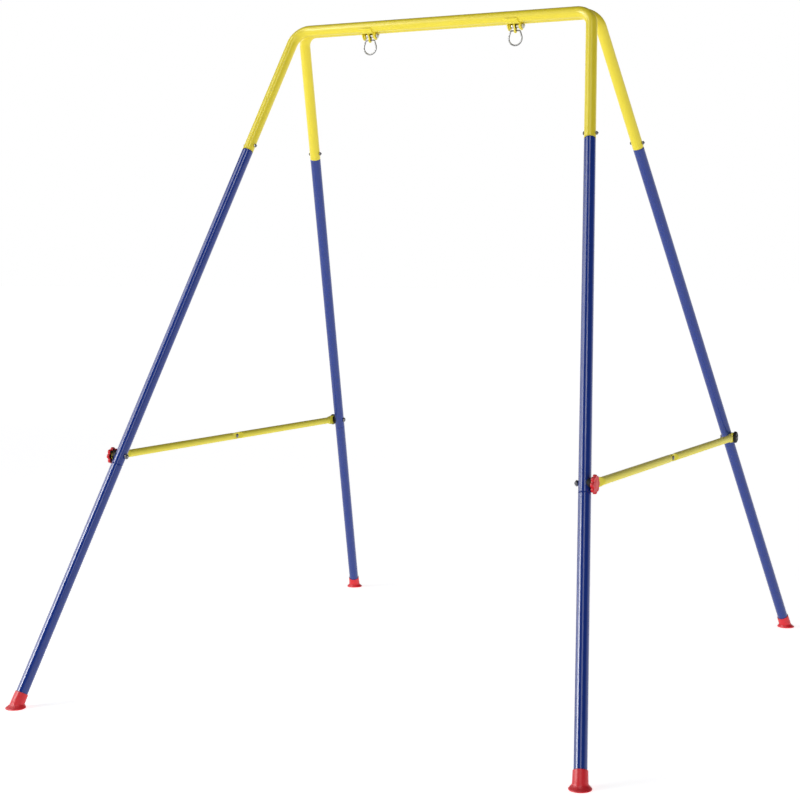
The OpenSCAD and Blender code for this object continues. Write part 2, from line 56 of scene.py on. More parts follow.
class Dye:
    """One value in a material's node tree. Operators between values add Math nodes."""

    def __init__(self, tree, socket=None):
        self.tree, self.socket = tree, socket

    def node(self, kind, settings=None, **values):
        """A node of a kind, with its settings made first, then its sockets filled with values or links.
        A socket is named with _ for each space. It gives the node's outputs by name."""
        made = self.tree.nodes.new("ShaderNode" + kind)
        for name, value in (settings or {}).items():
            if name == "stops":
                ramp = made.color_ramp.elements
                for place, colour in value[1:-1]:
                    ramp.new(place).color = colour
                for stop, (place, colour) in zip(ramp, value):
                    stop.position, stop.color = place, colour
            else:
                setattr(made, name, value)
        for name, value in values.items():
            found = [s for s in made.inputs if s.name.replace(" ", "_") == name and s.enabled]
            for socket, part in zip(found, value if isinstance(value, list) else [value]):
                if isinstance(part, Dye):
                    self.tree.links.new(part.socket, socket)
                else:
                    socket.default_value = part
        return {s.name: Dye(self.tree, s) for s in made.outputs if s.enabled}

    def maths(self, operation, *parts):
        """The result of one Math node on values and numbers."""
        return self.node("Math", {"operation": operation}, Value=list(parts))["Value"]

    def __add__(self, other):
        return self.maths("ADD", self, other)

    def __radd__(self, other):
        return self.maths("ADD", other, self)

    def __sub__(self, other):
        return self.maths("SUBTRACT", self, other)

    def __rsub__(self, other):
        return self.maths("SUBTRACT", other, self)

    def __mul__(self, other):
        return self.maths("MULTIPLY", self, other)

    def __rmul__(self, other):
        return self.maths("MULTIPLY", other, self)

    def noise(self, where, scale, detail):
        """Cloudy value from 0 to 1, in features of about 1/scale metres."""
        return self.node("TexNoise", Vector=where, Scale=scale, Detail=detail)["Fac"]

    def between(self, mask, low, high):
        """Colour that goes from low to high as the mask goes from 0 to 1."""
        return self.node("Mix", {"data_type": "RGBA"}, Factor=mask, A=low, B=high)["Result"]


def new_finish(name):
    """An empty material, a Dye to add nodes with, and the place on the piece in metres."""
    material = bpy.data.materials.new(name)
    material.use_nodes = True
    material.node_tree.nodes.clear()
    dye = Dye(material.node_tree)
    return material, dye, dye.node("TexCoord")["Object"]


def set_finish(material, dye, bump, depth, **values):
    """Ends a material in one Principled shader whose normal follows a bump of a depth in metres."""
    values["Normal"] = dye.node("Bump", Strength=1.0, Distance=depth, Height=bump)["Normal"]
    shader = dye.node("BsdfPrincipled", **values)["BSDF"]
    dye.node("OutputMaterial", Surface=shader)
    return material


def powder_coat(name, thin, thick, dull, gloss, ior=1.47):
    """Baked powder coat: a colour that is a little thinner in places, under the fine orange peel that
    the powder leaves as it flows, with a faint haze of handling marks in the gloss. Dull is the least
    roughness, gloss the weight of the clear top, and ior sets how much light the coat turns back."""
    material, dye, where = new_finish(name)
    cloud = dye.noise(where, 9.0, 3.0)
    peel = dye.noise(where, 300.0, 1.0)
    scuff = dye.noise(where, 60.0, 4.0)
    return set_finish(material, dye, peel, 0.000006,
                      Base_Color=dye.between(cloud, thin, thick), Roughness=dull + 0.08 * scuff, IOR=ior,
                      Coat_Weight=gloss * (1.5 - scuff), Coat_Roughness=0.05)


yellow_coat = powder_coat(
    "yellow_powder_coat", (0.83, 0.678, 0.03, 1), (0.88, 0.74, 0.042, 1), 0.28, 0.1)


def skin(name, grids, material, body, stands_for):
    """One mesh from grids of points in millimetres. A grid is rows of points that close on themselves;
    its last row meets its first if it loops, and each end is closed by a cap if it doesn't. Faces are
    turned outwards by the sign of the volume that they enclose. The piece is parented to its body, and
    the CAD nodes that it stands for are hidden."""
    points, faces, start = [], [], 0
    for grid, loops in grids:
        rows, cols = grid.shape[:2]
        index = start + np.arange(rows * cols).reshape(rows, cols)
        here = np.concatenate([index, index[:1]]) if loops else index
        a, b = here[:-1], here[1:]
        quads = np.stack([a, b, np.roll(b, -1, 1), np.roll(a, -1, 1)], -1).reshape(-1, 4)
        flat = grid.reshape(-1, 3)
        corner = flat[quads - start] - flat.mean(0)
        volume = np.einsum("ij,ij->", corner[:, 0], np.cross(corner[:, 1], corner[:, 2]))
        volume += np.einsum("ij,ij->", corner[:, 0], np.cross(corner[:, 2], corner[:, 3]))
        caps = [] if loops else [index[0].tolist(), index[-1][::-1].tolist()]
        if volume < 0:
            quads, caps = quads[:, ::-1], [cap[::-1] for cap in caps]
        faces += quads.tolist() + caps
        points.append(flat)
        start += rows * cols
    mesh = bpy.data.meshes.new(name)
    mesh.from_pydata((np.concatenate(points) * 0.001).tolist(), [], faces)
    mesh.polygons.foreach_set("use_smooth", [len(face) == 4 for face in faces])
    mesh.materials.append(material)
    piece = bpy.data.objects.new(name, mesh)
    bpy.context.scene.collection.objects.link(piece)
    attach(piece, body)
    if stands_for:
        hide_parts(*stands_for)


def leg_axes(end, side):
    """Corner of a leg, its unit heading down, and two unit vectors across it: one out of the leaning
    frame's plane and one in it."""
    slope = np.array([0, end * np.sin(LEAN), -np.cos(LEAN)])
    heading = np.array([side * np.sin(SPLAY), 0, 0]) + np.cos(SPLAY) * slope
    out = np.cross([1.0, 0, 0], slope)
    corner = np.array([side * CORNER_SPACING / 2, end * BAR_SPACING / 2, BAR_HEIGHT])
    return corner, heading, out, np.cross(heading, out)


def wall_line(runs, radii, wall):
    """Section of a tube's wall: out along the runs at their radii, round the end in a half circle, back
    one wall further in, and round the other end. It gives runs and radii of one closed line."""
    lip = np.linspace(np.pi / 2, -np.pi / 2, 7)
    tip_run, tip_radius = wall / 2 * np.cos(lip), wall / 2 * np.sin(lip)
    run = [runs, runs[-1] + tip_run, runs[::-1], runs[0] - tip_run[::-1]]
    radius = [radii, radii[-1] - wall / 2 + tip_radius, radii[::-1] - wall,
              radii[0] - wall / 2 + tip_radius[::-1]]
    return np.concatenate(run), np.concatenate(radius)


def bent_tube(end):
    """The bent tube as a closed wall line turned about the tube's axis. The axis runs straight from the
    bar's middle, round a bend by run over bend radius, and straight on; each point is the axis point
    plus the radius times the cosine and sine of the way round."""
    half_bar = CORNER_SPACING / 2 - BEND_TANGENT
    bend_end = half_bar + BEND_R * BEND_TURN
    last = bend_end + ARM_LENGTH - BEND_TANGENT - TUBE_WALL / 2
    one_side = np.concatenate([np.linspace(0, half_bar, 7)[1:], np.linspace(half_bar, bend_end, 33)[1:],
                               np.linspace(bend_end, last - 2, 6)[1:], [last - 1, last]])
    runs = np.concatenate([-one_side[::-1], [0], one_side])
    run, radius = wall_line(runs, np.full(len(runs), TUBE_R), TUBE_WALL)
    turned = np.clip((np.abs(run) - half_bar) / BEND_R, 0, BEND_TURN)
    straight = np.minimum(np.abs(run), half_bar)
    beyond = np.maximum(np.abs(run) - bend_end, 0)
    side = np.sign(run)
    across = side * (straight + BEND_R * np.sin(turned) + beyond * np.cos(turned))
    down = BEND_R * (1 - np.cos(turned)) + beyond * np.sin(turned)
    slope = np.array([0, end * np.sin(LEAN), -np.cos(LEAN)])
    x_axis = np.array([1.0, 0, 0])
    out = np.cross(x_axis, slope)
    middle = np.array([0, end * BAR_SPACING / 2, BAR_HEIGHT])
    axis = middle + across[:, None] * x_axis + down[:, None] * slope
    inward = -(side * np.sin(turned))[:, None] * x_axis + np.cos(turned)[:, None] * slope
    way = np.linspace(0, 2 * np.pi, ROUND, endpoint=False)[None, :, None]
    return axis[:, None] + radius[:, None, None] * (np.cos(way) * out + np.sin(way) * inward[:, None])


for end_name, end in ENDS.items():
    skin(f"{end_name}_top_tube_skin", [(bent_tube(end), True)], yellow_coat,
         f"{end_name}_frame", [f"{end_name}_top_tube"])

# Legs: straight lengths of the same tube in navy blue. The top of each is swaged down to a spigot that
# slides into the tube above, up to a short cone, so the joint shows as a thin dark ring.
UPPER_LENGTH, SPIGOT_LENGTH, SPIGOT_GAP, SHOULDER = 708.0, 45.0, 0.15, 2.0
SEAM_RUN = ARM_LENGTH + UPPER_LENGTH
FOOT_SEAT = 10.0
SEAT_GAP = 0.1
leg_end_run = LEG_LENGTH - FOOT_SEAT / (BAR_HEIGHT / LEG_LENGTH)
blue_coat = powder_coat(
    "blue_powder_coat", (0.005, 0.029, 0.23, 1), (0.007, 0.037, 0.27, 1), 0.12, 0.35)


def straight_tube(end, side, top, bottom):
    """A swaged tube: its wall line, narrow for the spigot, widening over the cone, then full, turned
    about the leg's axis."""
    narrow = TUBE_R - TUBE_WALL - SPIGOT_GAP
    neck = top + SEAT_GAP
    full = np.concatenate([neck + SHOULDER + np.array([0, 0.4, 2]),
                           np.linspace(neck + SHOULDER + 4, bottom - 2, 12), [bottom - 1, bottom - 0.6]])
    spigot = [top - SPIGOT_LENGTH, top - SPIGOT_LENGTH + 2, top - 2, neck - 0.2, neck]
    runs = np.concatenate([spigot, full])
    radii = np.concatenate([np.full(len(spigot), narrow), np.full(len(full), TUBE_R)])
    run, radius = wall_line(runs, radii, TUBE_WALL)
    corner, heading, out, flank = leg_axes(end, side)
    way = np.linspace(0, 2 * np.pi, ROUND, endpoint=False)[None, :, None]
    ring = np.cos(way) * out + np.sin(way) * flank
    return corner + run[:, None, None] * heading + radius[:, None, None] * ring


for end_name, end in ENDS.items():
    for side_name, side in SIDES.items():
        for part, top, bottom in (("upper", ARM_LENGTH, SEAM_RUN), ("lower", SEAM_RUN, leg_end_run)):
            node = f"{end_name}_{side_name}_{part}_leg"
            skin(node + "_skin", [(straight_tube(end, side, top, bottom), True)], blue_coat,
                 f"{end_name}_frame", [node])

# Feet: moulded red rubber boots. A slightly tapered sleeve grips the leg, and flares into a round
# flange that lies flat on the floor although the leg leans.
POLE = 0.02


def rubber(name, dark, light):
    """Moulded rubber: even colour with a dull bloom, and the fine satin grain of the mould."""
    material, dye, where = new_finish(name)
    bloom = dye.noise(where, 55.0, 4.0)
    grain = dye.noise(where, 2600.0, 1.0)
    return set_finish(material, dye, grain, 0.00003,
                      Base_Color=dye.between(bloom, dark, light), Roughness=0.3 + 0.16 * bloom,
                      Specular_IOR_Level=0.45)


red_rubber = rubber("red_rubber", (0.74, 0.014, 0.025, 1), (0.82, 0.021, 0.034, 1))


def boot(end, side):
    """Rings round the leg's axis, each with its height, its radius and how level it lies: 1 on the
    flange, and 0, square to the leg, on the sleeve. They start under the flange, go up outside and end
    down inside, and the first and last are so small that they close at a point."""
    rows = np.array([
        [0.0, POLE, 1], [0.0, 8.0, 1], [0.4, 8.5, 1], [0.4, 13.6, 1], [0.0, 14.2, 1], [0.0, 17.9, 1],
        [0.25, 18.7, 1], [0.8, 19.15, 1], [1.4, 19.25, 1], [2.0, 19.15, 1], [2.5, 18.8, 1],
        [3.3, 18.0, 1], [5.2, 16.1, 1], [6.6, 14.7, 0.97], [7.5, 13.95, 0.9], [8.3, 13.5, 0.78],
        [9.4, 13.3, 0.6], [11.2, 13.2, 0.34], [13.4, 13.12, 0.12], [16.5, 13.0, 0],
        [21, 12.86, 0], [26, 12.72, 0], [29.6, 12.6, 0], [30.4, 12.5, 0], [30.85, 12.25, 0],
        [31, 11.95, 0], [30.85, 11.6, 0], [30.4, 11.35, 0],
        [29, 11.3, 0], [20, 11.3, 0], [12.4, 11.3, 0], [11.4, 10.8, 0], [11.3, POLE, 0],
    ])
    height, radius, level = rows.T
    corner, heading, _, _ = leg_axes(end, side)
    floor_point = corner + LEG_LENGTH * heading
    tilt = -heading[2]
    side_way = np.cross(heading, [0, 0, 1.0])
    side_way /= np.linalg.norm(side_way)
    leg_way, level_way = np.cross(side_way, heading), np.cross(side_way, [0, 0, -1.0])
    up = level[:, None] * level_way + (1 - level[:, None]) * leg_way
    up /= np.linalg.norm(up, axis=1)[:, None]
    along = np.where(level > 0, height / tilt, height)
    centre = floor_point - along[:, None] * heading
    way = np.linspace(0, 2 * np.pi, ROUND, endpoint=False)[None, :, None]
    ring = np.cos(way) * side_way + np.sin(way) * up[:, None]
    return centre[:, None] + radius[:, None, None] * ring


for end_name, end in ENDS.items():
    for side_name, side in SIDES.items():
        node = f"{end_name}_{side_name}_foot"
        skin(node + "_boot", [(boot(end, side), False)], red_rubber, f"{end_name}_frame", [node])

# Hinge brackets: pressed steel, welded under the top tubes and coated with them. The front one has two
# outer ears and a middle ear for the ring; the rear one's two ears turn between them on the bolt.
HINGE_SPACING, HINGE_DROP, EAR_THICK, HANGER_THICK = 325.0, 16.5, 2.5, 3.0
REAR_EAR_X, FRONT_EAR_X, EAR_R, FRONT_EAR_TOE = 9.0, 12.0, 6.5, 2.5
RING_HOLE_DROP, RING_HOLE_R, HANGER_R = 8.5, 2.8, 5.5
EDGE, TUCK, EAR_SINK, SADDLE_TURN = 0.45, 0.3, 2.0, (-58, 70)


def arc(centre, radius, start, stop, count):
    """Points round a circle from one angle to another."""
    turn = np.linspace(start, stop, count)[:, None]
    return np.asarray(centre) + radius * np.concatenate([np.cos(turn), np.sin(turn)], 1)


def belt(p, rp, q, rq, count=28):
    """Outline of a belt round two circles: an arc on each, joined by their tangents."""
    p, q = np.asarray(p, float), np.asarray(q, float)
    way = np.arctan2(*(q - p)[::-1])
    spread = np.arccos((rp - rq) / np.linalg.norm(q - p))
    return np.concatenate([arc(p, rp, way + spread, way - spread + 2 * np.pi, count),
                           arc(q, rq, way - spread, way + spread, count)])


def inset(outline, depth):
    """A closed outline moved inwards by a depth along the mean of its neighbours' normals."""
    ahead, behind = np.roll(outline, -1, 0) - outline, outline - np.roll(outline, 1, 0)
    ahead = ahead / np.maximum(np.linalg.norm(ahead, axis=1), 1e-9)[:, None]
    behind = behind / np.maximum(np.linalg.norm(behind, axis=1), 1e-9)[:, None]
    normal = ahead + behind
    normal = np.stack([-normal[:, 1], normal[:, 0]], 1)
    normal /= np.maximum(np.linalg.norm(normal, axis=1), 1e-9)[:, None]
    after = np.roll(outline, -1, 0)
    area = np.sum(outline[:, 0] * after[:, 1] - after[:, 0] * outline[:, 1])
    return outline + np.sign(area) * depth * normal


def sheet_rows(outline, x1, x2, edge=EDGE):
    """Sheet metal from an outline in Y and Z between two places along X: the outline carried across the
    thickness, drawn in round both edges as a coated edge is."""
    turn = np.linspace(0, np.pi / 2, 4)
    place = np.concatenate([x1 + edge * (1 - np.cos(turn)), x2 - edge * (1 - np.cos(turn[::-1]))])
    depth = np.concatenate([edge * (1 - np.sin(turn)), edge * (1 - np.sin(turn[::-1]))])
    return np.stack([np.concatenate([np.full((len(outline), 1), x), inset(outline, d)], 1)
                     for x, d in zip(place, depth)])


def holed_rows(outline, hole, x1, x2, edge=EDGE):
    """Sheet metal with a hole: the rounded outline out and over, then the hole's rim back, as one loop.
    Outline and hole have the same number of points and start on the same side."""
    outer = sheet_rows(outline, x1, x2, edge)
    inner = sheet_rows(hole, x1, x2, -edge)
    return np.concatenate([outer, inner[::-1]])


def saddle_rows(end, half_width):
    """Saddle plate under a top tube: a strip as thick as the ears, bent round the tube from its inner
    to its outer edge, carried along X with rounded ends."""
    turn = np.radians(np.linspace(*SADDLE_TURN, 40))
    tube = np.array([end * BAR_SPACING / 2, HINGE_DROP])
    ring = np.stack([end * np.sin(turn), -np.cos(turn)], 1)
    near = TUBE_R + SEAT_GAP
    outline = np.concatenate([tube + (near + EAR_THICK) * ring, tube + near * ring[::-1]])
    return sheet_rows(outline, -half_width, half_width)


def cut_step(away, way, stop):
    """The step along a direction that brings a point, seen from a circle's middle, onto the circle."""
    ahead = np.array([np.cos(way), np.sin(way)])
    along = away @ ahead
    return ahead * (-along - np.sqrt(stop ** 2 - away @ away + along ** 2))


def ear_outline(end, toe=0.0):
    """An ear from the fold axis to its tube: round its lower end, a toe below the axis, along the two
    tangents to a circle inside the tube, and back along the middle of the saddle, where it stops."""
    heel = np.array([0, -toe])
    tube = np.array([end * BAR_SPACING / 2, HINGE_DROP])
    stop = TUBE_R + SEAT_GAP + EAR_THICK / 2
    way = np.arctan2(*(tube - heel)[::-1])
    spread = np.arccos((EAR_R - TUBE_R + EAR_SINK) / np.linalg.norm(tube - heel))
    boss = arc(heel, EAR_R, way + spread, way - spread + 2 * np.pi, 40)
    back = way + np.pi
    ends = np.stack([point + cut_step(point, way, stop) for point in (boss[-1] - tube, boss[0] - tube)])
    low, high = (np.arctan2(ends[:, 1], ends[:, 0]) - back + np.pi) % (2 * np.pi) - np.pi
    return np.concatenate([boss, arc(tube, stop, back + low, back + high, 16)])


for side_name, side in SIDES.items():
    place = np.array([side * HINGE_SPACING / 2, 0, BAR_HEIGHT - HINGE_DROP])
    for end_name, end in ENDS.items():
        inner, toe = (REAR_EAR_X, 0.0) if end > 0 else (FRONT_EAR_X, FRONT_EAR_TOE)
        rows = [(saddle_rows(end, inner + EAR_THICK - TUCK), False)]
        for flank in (-1, 1):
            near, far = sorted((flank * inner, flank * (inner + EAR_THICK)))
            rows.append((sheet_rows(ear_outline(end, toe), near, far), False))
        if end < 0:
            rows.append((sheet_rows(ear_outline(end), -HANGER_THICK / 2, HANGER_THICK / 2), False))
            lobe = belt([0, 0], EAR_R - TUCK, [0, -RING_HOLE_DROP], HANGER_R)
            turn = np.unwrap(np.arctan2(lobe[:, 1] + RING_HOLE_DROP, lobe[:, 0]))
            hole = np.stack([RING_HOLE_R * np.cos(turn), RING_HOLE_R * np.sin(turn) - RING_HOLE_DROP], 1)
            rows.append((holed_rows(lobe, hole, -HANGER_THICK / 2, HANGER_THICK / 2), True))
        rows = [(grid + place, loops) for grid, loops in rows]
        node = f"{side_name}_{end_name}_hinge_bracket"
        skin(node + "_plates", rows, yellow_coat, f"{end_name}_frame", [node])

# Bolts, nuts and bushes: zinc-plated steel. The hinge's bolts, nuts and bushes are a pale copy of the
# zinc, painted light where the gaps between the ears show bright; the other fasteners a dark one, painted
# shade.
# Pan-head bolts go in from the left, through the brackets and the tube joints, and their rolled threads
# stand out past hexagon nuts. Bushes keep the ears apart.
HINGE_BOLT_D, JOINT_BOLT_D, STUD_D, THREAD_TIP = 6.0, 4.0, 6.0, 2.0
HEAD_WIDTH, HEAD_HEIGHT, NUT_WIDTH, NUT_HEIGHT = 1.8, 0.55, 1.85, 0.6
JOINT_BOLT_UP, PIVOT_ABOVE_SEAM = 11.5, 17.5
THREAD_PITCH, THREAD_DEPTH, THREAD_LENGTH, THREAD_STEPS = 0.16, 0.09, 16.0, 7
BUSH_R, BUSH_GAP, BUSH_EDGE, BUSH_FALL = 4.5, 0.3, 0.4, 0.3
PIN_GAP, RIM_RISE = 0.05, 0.2
bracket_half = FRONT_EAR_X + EAR_THICK


def zinc_plate(name, dark, light):
    """Zinc plate: grey metal in faint clouds, with fine wear that dulls it in places."""
    material, dye, where = new_finish(name)
    cloud = dye.noise(where, 180.0, 3.0)
    wear = dye.noise(where, 900.0, 2.0)
    return set_finish(material, dye, wear, 0.00002, Base_Color=dye.between(cloud, dark, light),
                      Metallic=1.0, Roughness=0.24 + 0.16 * wear)


# Dark zinc, painted shade, for most fasteners; a pale copy, painted light, for the hinge's bolts, nuts
# and bushes.
zinc = zinc_plate("zinc_plate", (0.13, 0.13, 0.14, 1), (0.24, 0.24, 0.25, 1))
painted_light_zinc = zinc_plate("fresh_zinc_plate", (0.52, 0.52, 0.51, 1), (0.68, 0.68, 0.66, 1))


def turned(place, runs, radii, spin=None, count=40):
    """A shape turned about X: rings at the runs with the radii, at a place. Spin changes each radius by
    a function of run and way round."""
    way = np.linspace(0, 2 * np.pi, count, endpoint=False)
    radius = np.repeat(np.asarray(radii, float)[:, None], count, 1)
    if spin is not None:
        radius = spin(np.asarray(runs, float)[:, None], way[None, :], radius)
    ring = np.stack([np.zeros(count), np.cos(way), np.sin(way)], -1)
    along = np.asarray(runs, float)[:, None, None] * np.array([1.0, 0, 0])
    return np.asarray(place) + along + radius[..., None] * ring


def bolt_rows(place, head, tip, d):
    """A pan-head bolt along X: a domed head behind its seat, a shank, and near its tip a thread whose
    radius falls and rises once a pitch along and once a turn round. Its end is chamfered."""
    r, rise, pitch = HEAD_WIDTH * d / 2, HEAD_HEIGHT * d, THREAD_PITCH * d
    swell = np.linspace(0.01, np.pi / 2, 9)
    head_runs = np.concatenate([head - rise * np.cos(swell), [head - 0.25, head]])
    head_radii = np.concatenate([r * np.sin(swell) ** 0.8, [r, r - 0.2]])
    first = max(tip - THREAD_LENGTH, head + 1)
    thread_runs = np.arange(first, tip - 0.6, pitch / THREAD_STEPS)
    runs = np.concatenate([head_runs, [head, head + 0.3], thread_runs, [tip - 0.5, tip, tip]])
    radii = np.concatenate([head_radii, [d / 2, d / 2], np.full(len(thread_runs), d / 2),
                            [d / 2 - 0.3, d / 2 - 0.9, POLE]])

    def thread(run, way, radius):
        wave = 0.5 + 0.5 * np.cos(2 * np.pi * run / pitch - way)
        cut = (run > first + 0.5) & (run < tip - 0.4)
        return radius - cut * THREAD_DEPTH * d * wave

    return turned(place, runs, radii, thread, 28)


def nut_rows(place, start, d):
    """A hexagon nut along X: at each run the radius is the hexagon's or, if that is less, the chamfer
    cone's; the line goes on through the bore and closes."""
    width, thick = NUT_WIDTH * d / 2, NUT_HEIGHT * d
    flat = width * np.cos(np.pi / 6)
    bore = d / 2 + PIN_GAP
    runs = start + thick * np.array([0, 0, 0.12, 0.3, 0.5, 0.7, 0.88, 1, 1, 0.96, 0.5, 0.04])
    limit = np.array([bore + 0.35, flat * 0.97, flat * 1.08, width, width, width, flat * 1.08,
                      flat * 0.97, bore + 0.35, bore, bore, bore])

    def hexagon(run, way, radius):
        return np.minimum(radius, flat / np.cos((way + np.pi / 6) % (np.pi / 3) - np.pi / 6))

    return turned(place, runs, limit, hexagon, 72)


def seat_reach(r):
    """How far a fastener's seat stands from the leg's axis, clear of the splayed tube under its rim."""
    return TUBE_R / np.cos(SPLAY) + RIM_RISE * r + SEAT_GAP


def leg_point(end, side, run):
    """The point on a leg's axis at a run down from its corner."""
    corner, heading, _, _ = leg_axes(end, side)
    return corner + run * heading


hinges = [np.array([side * HINGE_SPACING / 2, 0, BAR_HEIGHT - HINGE_DROP]) for side in SIDES.values()]
hinge_tip = bracket_half + NUT_HEIGHT * HINGE_BOLT_D + THREAD_TIP
# The hinge's bolts, nuts and bushes take the pale zinc: painted light where the gaps between the ears
# show bright.
skin("hinge_bolts_zinc",
     [(bolt_rows(p, -bracket_half - SEAT_GAP, hinge_tip, HINGE_BOLT_D), False) for p in hinges],
     painted_light_zinc, "front_frame", ["hinge_bolts"])
skin("hinge_nuts_zinc", [(nut_rows(p, bracket_half + SEAT_GAP, HINGE_BOLT_D), True) for p in hinges],
     painted_light_zinc, "front_frame", ["hinge_nuts"])
bush_in, bush_out = HANGER_THICK / 2 + BUSH_GAP, REAR_EAR_X - BUSH_GAP
bush_bore = HINGE_BOLT_D / 2 + PIN_GAP
bush_runs = np.array([bush_in, bush_in, bush_in + BUSH_EDGE, bush_out - BUSH_EDGE, bush_out, bush_out])
bush_radii = np.array([bush_bore, BUSH_R - BUSH_FALL, BUSH_R, BUSH_R, BUSH_R - BUSH_FALL, bush_bore])
skin("hinge_bushes_zinc",
     [(turned(p, flank * bush_runs, bush_radii), True) for p in hinges for flank in (-1, 1)],
     painted_light_zinc, "front_frame", ["hinge_bushes"])

joint_head, joint_seat = (seat_reach(w * JOINT_BOLT_D / 2) for w in (HEAD_WIDTH, NUT_WIDTH))
for end_name, end in ENDS.items():
    joints = [leg_point(end, side, ARM_LENGTH - JOINT_BOLT_UP) for side in SIDES.values()]
    tip = joint_seat + NUT_HEIGHT * JOINT_BOLT_D + THREAD_TIP
    skin(f"{end_name}_joint_bolts_zinc",
         [(bolt_rows(p, -joint_head, tip, JOINT_BOLT_D), False) for p in joints],
         zinc, f"{end_name}_frame", [f"{end_name}_joint_bolts"])
    skin(f"{end_name}_joint_nuts_zinc", [(nut_rows(p, joint_seat, JOINT_BOLT_D), True) for p in joints],
         zinc, f"{end_name}_frame", [f"{end_name}_joint_nuts"])

# Rings: steel wire bent to a D and butt welded, one in each front bracket. Its straight bar turns in the
# middle ear's hole, and its sides spread from there to a round bottom.
RING_R, RING_WIRE_R, RING_SAG, RING_DEPTH = 14.0, 1.6, 0.6, 29.0
RING_CORNER_X, RING_CORNER_R = 7.7, 3.0
WELD_WAY, WELD_LENGTH, WELD_SWELL = 1.25 * np.pi, 1.6, 0.06


def ring_rows(side):
    """A wire ring in the bracket's plane. Its middle line goes round a right corner, the bottom circle
    and a left corner, joined by the circles' tangents, and back along the bar. The wire's own circle is
    carried along it, a little thicker by a bell curve of the distance from the weld."""
    corner, bottom = np.array([RING_CORNER_X, -RING_CORNER_R]), np.array([0, RING_R - RING_DEPTH])
    way = np.arctan2(*(bottom - corner)[::-1])
    tangent = way + np.arccos((RING_CORNER_R - RING_R) / np.linalg.norm(bottom - corner))
    line = np.concatenate([arc(corner, RING_CORNER_R, np.pi / 2, tangent, 12),
                           arc(bottom, RING_R, tangent, -np.pi - tangent, 96),
                           arc(corner * [-1, 1], RING_CORNER_R, np.pi - tangent, np.pi / 2, 12)])
    ahead = np.roll(line, -1, 0) - np.roll(line, 1, 0)
    ahead /= np.linalg.norm(ahead, axis=1)[:, None]
    weld_point = bottom + RING_R * np.array([np.cos(WELD_WAY), np.sin(WELD_WAY)])
    weld = np.exp(-(np.linalg.norm(line - weld_point, axis=1) / WELD_LENGTH) ** 2)
    wire = RING_WIRE_R * (1 + WELD_SWELL * weld)[:, None, None]
    none = np.zeros(len(line))
    out = np.stack([-ahead[:, 1], none, ahead[:, 0]], 1)[:, None]
    turn = np.linspace(0, 2 * np.pi, 28, endpoint=False)[None, :, None]
    place = [side * HINGE_SPACING / 2, 0, BAR_HEIGHT - HINGE_DROP - RING_HOLE_DROP - RING_SAG]
    middle = np.stack([line[:, 0], none, line[:, 1]], 1)[:, None] + place
    return middle + wire * (np.cos(turn) * out + np.sin(turn) * np.array([0, 1.0, 0]))


ring_steel = zinc_plate("ring_steel", (0.16, 0.16, 0.16, 1), (0.26, 0.26, 0.255, 1))
for side_name, side in SIDES.items():
    skin(f"{side_name}_ring_wire", [(ring_rows(side), True)], ring_steel,
         f"{side_name}_ring", [f"{side_name}_ring"])

# Brace saddles and caps: black moulded nylon. A saddle is hollowed to sit on the round leg and gives the
# brace a flat seat; at the rear a dished cap covers the brace's pressed end under the nut.
SADDLE_OUT, BRACE_GAP, CAP_FLOOR, CAP_THICK = 13.0, 0.2, 1.6, 6.0
FLUTES, FLUTE_DEPTH, FLUTE_FROM_R = 20, 0.35, 11.3
BRACE_WALL = 1.0
FLAT_THICK = 2 * BRACE_WALL
cap_in = SADDLE_OUT + 2 * BRACE_GAP + FLAT_THICK


def black_nylon():
    """Moulded black nylon: near black, a little greyer where the spark-eroded grain catches light."""
    material, dye, where = new_finish("black_nylon")
    grain = dye.noise(where, 1900.0, 2.0)
    haze = dye.noise(where, 130.0, 3.0)
    return set_finish(material, dye, grain, 0.00005,
                      Base_Color=dye.between(haze, (0.005, 0.005, 0.006, 1), (0.011, 0.011, 0.012, 1)),
                      Roughness=0.46 + 0.2 * haze, Specular_IOR_Level=0.25)


nylon = black_nylon()
pivots = {(end, side): leg_point(end, side, SEAM_RUN - PIVOT_ABOVE_SEAM)
          for end in ENDS.values() for side in SIDES.values()}
for node in ("front_brace_saddles", "rear_brace_saddles"):
    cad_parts[node].material_slots[0].material = nylon
cap_runs = cap_in + np.array([0, 0, 0.3, 3.4, 4.6, 5.5, 5.9, 6.0, 6.0, 5.8, 1.8, 1.6, 1.6])
cap_radii = np.array([3.4, 12.1, 12.5, 12.5, 12.1, 11.2, 10.2, 9.4, 6.2, 5.95, 5.85, 5.7, 3.4])


def ribbed(run, way, radius):
    """Grip flutes round the cap's edge: the radius dips a little in narrow waves, only at the rim."""
    return radius - FLUTE_DEPTH * (radius > FLUTE_FROM_R) * (0.5 + 0.5 * np.cos(FLUTES * way)) ** 4


skin("brace_pivot_caps_nylon",
     [(turned(pivots[1, side], side * cap_runs, cap_radii, ribbed, 160), True)
      for side in SIDES.values()],
     nylon, "rear_frame", ["brace_pivot_caps"])

# Rear pivot bolts, put in from inside the frame, with their nuts sunk in the caps; and the nuts on the
# inner faces of the front legs, which the knobs' studs turn in. All are zinc plated.
stud_seat, stud_head = (seat_reach(w * STUD_D / 2) for w in (NUT_WIDTH, HEAD_WIDTH))
bolt_tip = cap_in + CAP_THICK + THREAD_TIP
flips = [(side, np.array([side, 1.0, 1.0])) for side in SIDES.values()]
pivot_bolt = bolt_rows([0, 0, 0], -stud_head, bolt_tip, STUD_D)
pivot_nut = nut_rows([0, 0, 0], cap_in + CAP_FLOOR + SEAT_GAP, STUD_D)
skin("brace_pivot_bolts_zinc", [(pivots[1, side] + flip * pivot_bolt, False) for side, flip in flips],
     zinc, "rear_frame", ["brace_pivot_bolts"])
skin("brace_pivot_nuts_zinc", [(pivots[1, side] + flip * pivot_nut, True) for side, flip in flips],
     zinc, "rear_frame", ["brace_pivot_nuts"])
